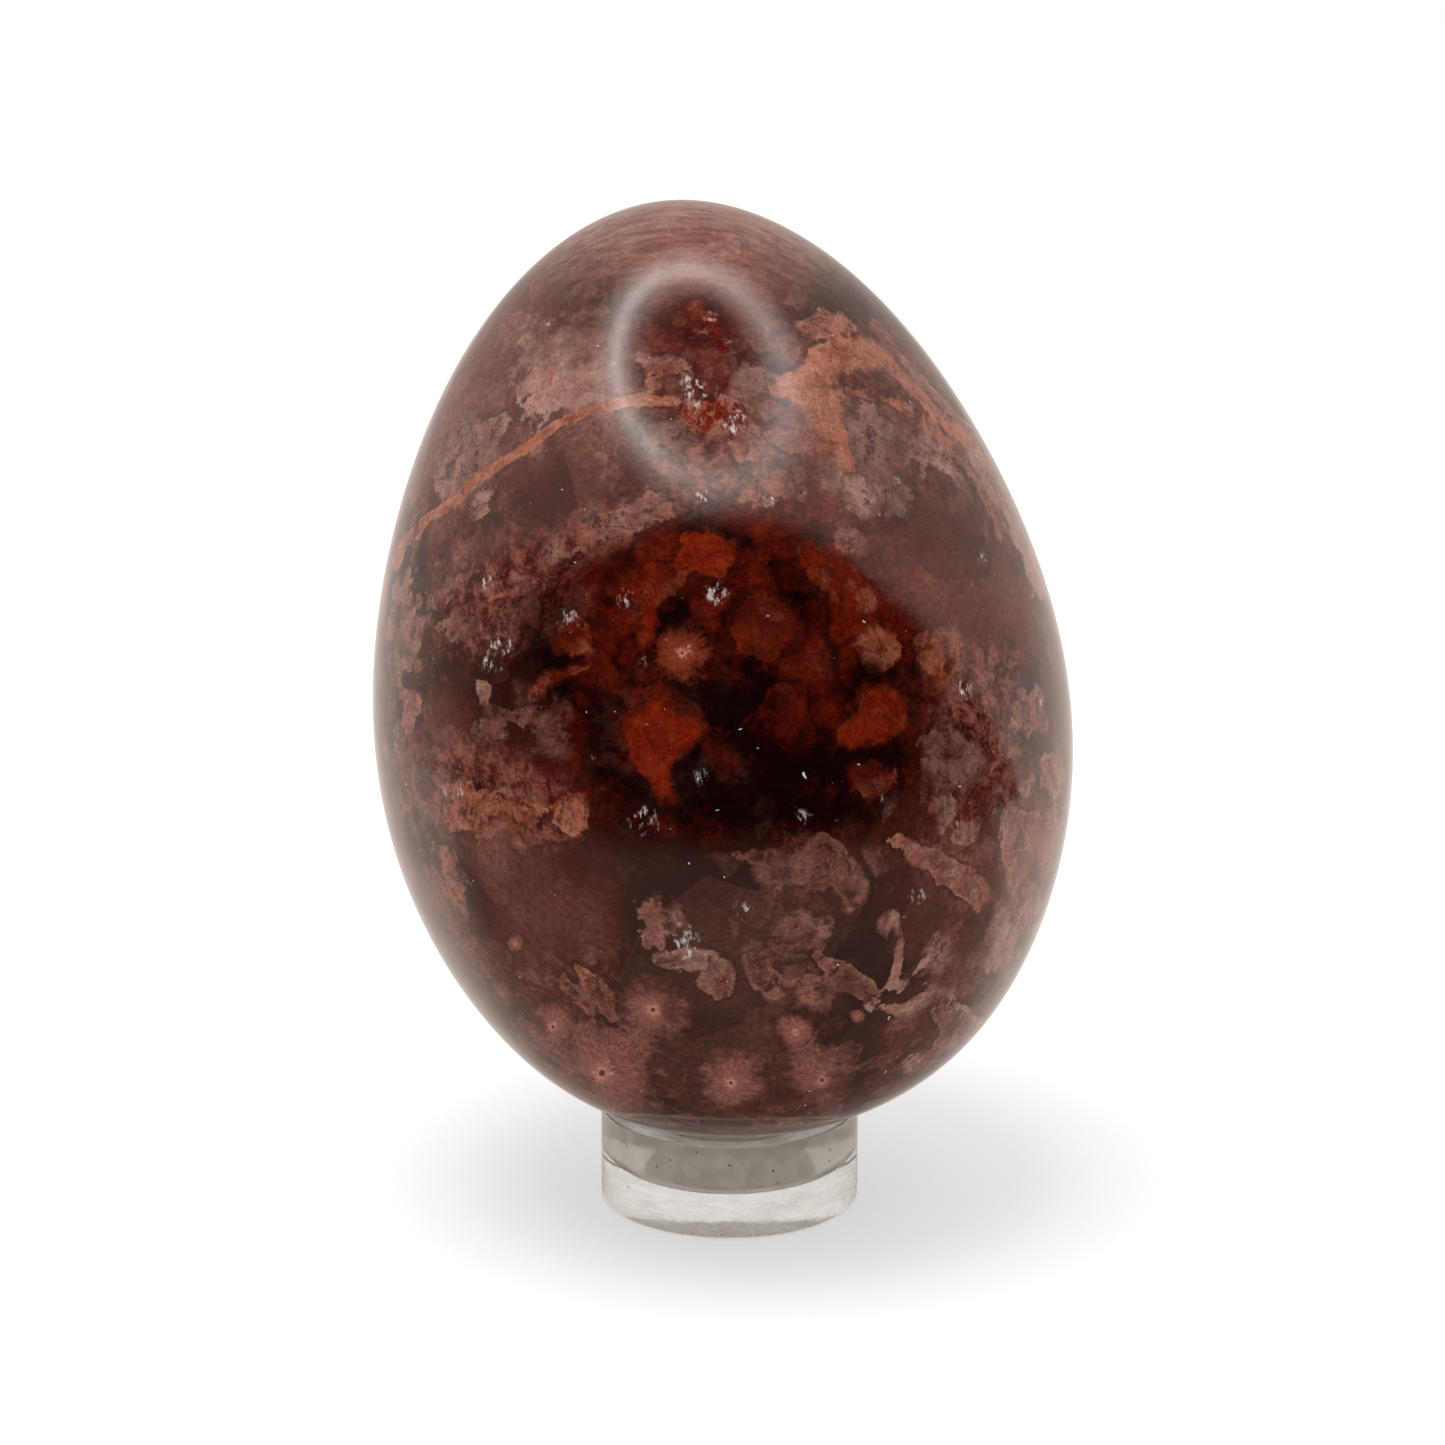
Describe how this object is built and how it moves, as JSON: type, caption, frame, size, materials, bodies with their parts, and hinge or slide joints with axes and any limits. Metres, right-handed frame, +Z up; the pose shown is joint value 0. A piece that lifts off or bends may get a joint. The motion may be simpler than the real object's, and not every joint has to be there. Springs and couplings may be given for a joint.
{
  "type": "stone egg on stand",
  "caption": "Polished stone egg that rests, leaning a little, in the blind recess of a small clear disc stand and lifts off it.",
  "frame": {"origin": "centre of the stand's underside, on the surface it stands on", "axes": "+Z up, +X to the viewer's right and +Y away from the viewer; the egg's tip leans towards -X"},
  "size_m": [0.0676, 0.0672, 0.0989],
  "materials": {
    "stone": "polished, patterned",
    "clear_acrylic": "clear, polished"
  },
  "bodies": {
    "stand": {"cup_stand": "clear_acrylic"},
    "egg": {"stone_egg": "stone"}
  },
  "joints": [
    {"name": "egg_lift", "type": "slide", "parent": "stand", "child": "egg", "axis": [0, 0, 1], "range_m": [0, 0.05]}
  ]
}
